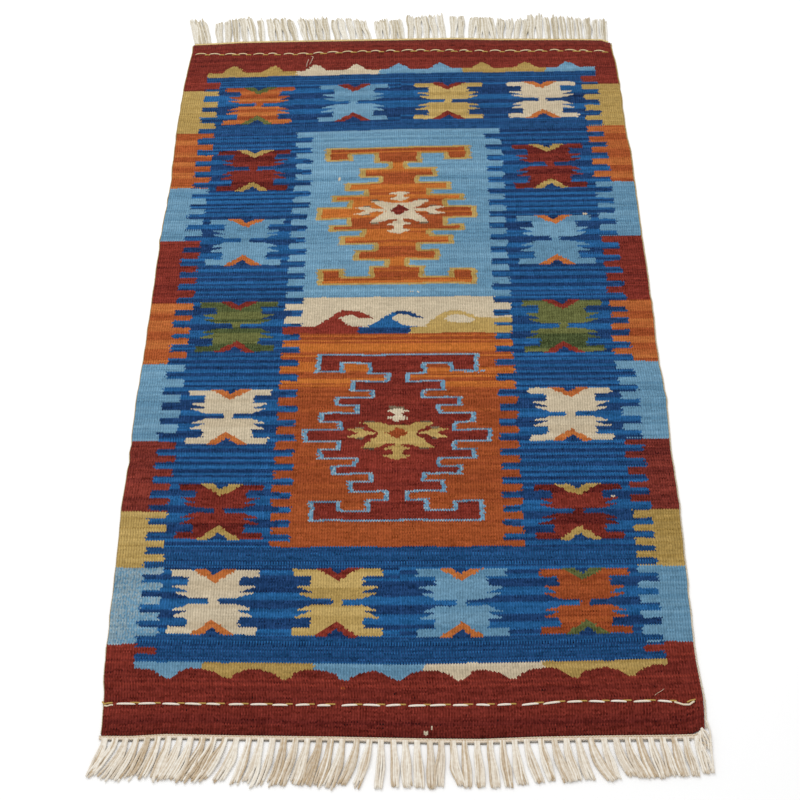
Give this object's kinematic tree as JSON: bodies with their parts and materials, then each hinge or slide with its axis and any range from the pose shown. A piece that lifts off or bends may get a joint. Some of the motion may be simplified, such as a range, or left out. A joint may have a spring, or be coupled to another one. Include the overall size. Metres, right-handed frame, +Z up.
{
  "type": "kilim rug",
  "caption": "Flat-woven wool rug with a stepped geometric pattern, a twined heading across each end and a fringe of cotton tassels, lying flat on the floor.",
  "frame": {"origin": "middle of the rug on the surface it lies on, the centre of its bounding box at the base", "axes": "+X across the rug, +Y along it towards the far fringe, +Z up out of its face"},
  "size_m": [0.933, 1.6671, 0.004],
  "materials": {
    "wool_weave": "matt wool weft, blue ground with dark red, rust, gold, light blue, green and cream figures",
    "cotton_warp": "matt undyed cotton"
  },
  "bodies": {
    "root": {"woven_cloth": "wool_weave", "heading_near": "cotton_warp", "heading_far": "cotton_warp", "fringe_near": "cotton_warp", "fringe_far": "cotton_warp"}
  },
  "joints": []
}
